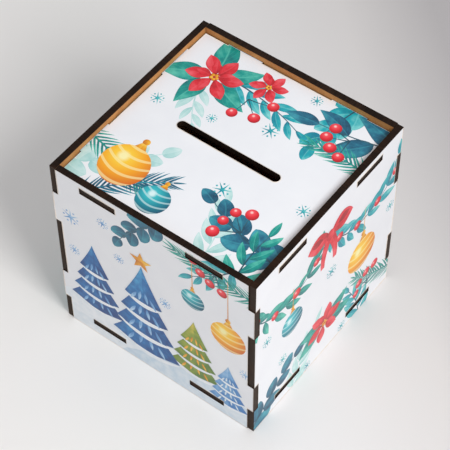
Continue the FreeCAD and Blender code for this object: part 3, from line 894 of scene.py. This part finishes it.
def face_frame(node, right, up):
    """Matrix from a face's own right, up and outward directions to the CAD frame, at its middle."""
    outward = right.cross(up)
    low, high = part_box(node)
    middle = (low + high) / 2
    half = Vector([abs(o) for o in outward]).dot(high - low) / 2
    turn = Matrix((right, up, outward)).transposed().to_4x4()
    return Matrix.Translation(middle + outward * half) @ turn


def ink_stamp(node, outward):
    """A copy of a panel, drawn in by the lip and moved half its thickness outwards, that cuts the ink."""
    stamp = merged_copy(node, "stamp")
    bpy.ops.object.mode_set(mode="EDIT")
    bpy.ops.mesh.select_all(action="SELECT")
    bpy.ops.transform.shrink_fatten(value=-LIP * MM, use_even_offset=True)
    bpy.ops.object.mode_set(mode="OBJECT")
    low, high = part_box(node)
    stamp.data.transform(Matrix.Translation(outward * abs((high - low).dot(outward)) / 2))
    return stamp


def trim(piece, cutters):
    """Keeps what of a piece lies inside every cutter, and removes the cutters."""
    pick(piece)
    for cutter in cutters:
        cut = piece.modifiers.new("trim", "BOOLEAN")
        cut.operation = "INTERSECT"
        cut.solver = "MANIFOLD"
        cut.object = cutter
        bpy.ops.object.modifier_apply(modifier=cut.name)
        bpy.data.objects.remove(cutter)


def printed_panel(node, right, up, design, within=None):
    """A printed panel and its ink, cut as the board is and, if told, kept within this half width."""
    outward = right.cross(up)
    finish_piece(cut_board(node, outward, True), "box", "printed_board", node)
    sheet = Sheet()
    design(sheet)
    pick(*[new_piece("plate", mesh) for mesh in sheet.plates])
    bpy.ops.object.join()
    ink = bpy.context.object
    ink.name = node.replace("wall", "print").replace("panel", "print")
    ink.data.transform(face_frame(node, right, up))
    cutters = [ink_stamp(node, outward)]
    if within:
        bpy.ops.object.select_all(action="DESELECT")
        bpy.ops.mesh.primitive_cube_add(size=2 * within, location=(0, 0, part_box(node)[1].z))
        cutters.append(bpy.context.object)
    trim(ink, cutters)
    finish_piece(ink, "box", "printed_board")


printed_panel("front_wall", RIGHT, UP, front_design)
printed_panel("back_wall", -RIGHT, UP, back_design)
printed_panel("left_wall", -BACK, UP, left_design)
printed_panel("right_wall", BACK, UP, right_design)
printed_panel("top_panel", RIGHT, BACK, top_design, WELL)

finish_piece(cut_board("base_panel", UP, False), "box", "raw_board", "base_panel")
finish_piece(cut_board("hatch_cover", UP, False), "hatch", "raw_board", "hatch_cover")
for name in ("hatch_screw", "outer_washer", "inner_washer", "lock_nut"):
    fastener = merged_copy(name, name + "_zinc")
    dull_edges(fastener, BURNISH)
    fastener.data.materials.append(ZINC)
    finish_piece(fastener, "box", "zinc_steel", name)

# Floor, light and camera

FLOOR = 6.0     # width in metres
SKY = 0.52      # strength of the world's light
bpy.ops.object.select_all(action="DESELECT")
bpy.ops.mesh.primitive_plane_add(size=FLOOR)
floor = bpy.context.object
floor.name = "studio_floor"
# A window under the box, inside the feet of its walls, lets light reach its underside
bpy.ops.object.mode_set(mode="EDIT")
bpy.ops.mesh.inset(thickness=FLOOR / 2 - WELL)
bpy.ops.mesh.delete(type="FACE")
bpy.ops.object.mode_set(mode="OBJECT")
floor.data.materials.append(studio_paper())

scene = bpy.context.scene
scene.view_settings.view_transform = "Standard"
world = bpy.data.worlds.new("studio")
world.use_nodes = True
sky = world.node_tree.nodes["Background"]
sky.inputs["Color"].default_value = linear("f4f5f8")
sky.inputs["Strength"].default_value = SKY
scene.world = world


def soft_light(name, azimuth, elevation, distance, size, watts):
    """A square soft box that faces the box, at an angle from +X towards the front and above the floor."""
    data = bpy.data.lights.new(name, "AREA")
    data.size = size
    data.energy = watts
    lamp = bpy.data.objects.new(name, data)
    scene.collection.objects.link(lamp)
    turn, lift = math.radians(azimuth), math.radians(elevation)
    aim = Vector((math.cos(turn) * math.cos(lift), -math.sin(turn) * math.cos(lift), math.sin(lift)))
    lamp.location = aim * distance
    lamp.rotation_euler = aim.to_track_quat("Z", "Y").to_euler()


soft_light("window_right", azimuth=17.5, elevation=48.2, distance=0.96, size=0.34, watts=5.7)
soft_light("ceiling", azimuth=0.0, elevation=90.0, distance=1.14, size=1.14, watts=0.7)

# The camera that took the photograph, found from the edges of the box
AZIMUTH, ELEVATION, ROLL = (math.radians(angle) for angle in (37.189, 51.761, -0.386))
DISTANCE = 696.4 * MM
AIM_OFF = Vector((1.449, 0.116)) * MM
LENS, SENSOR = 133.76, 36.0     # focal length and width of the sensor, in millimetres
middle = (cad_box[0] + cad_box[1]) / 2
level = Vector((math.cos(AZIMUTH), math.sin(AZIMUTH), 0))
away = Vector((
    math.sin(AZIMUTH) * math.cos(ELEVATION),
    -math.cos(AZIMUTH) * math.cos(ELEVATION),
    math.sin(ELEVATION),
))
tilt = Matrix.Rotation(ROLL, 3, away)
across, upward = tilt @ level, tilt @ away.cross(level)
optics = bpy.data.cameras.new("photo_camera")
optics.lens = LENS
optics.sensor_width = SENSOR
camera = bpy.data.objects.new("photo_camera", optics)
scene.collection.objects.link(camera)
camera.matrix_world = Matrix.Translation(
    middle + DISTANCE * away - AIM_OFF.x * across - AIM_OFF.y * upward
) @ Matrix((across, upward, away)).transposed().to_4x4()
scene.camera = camera
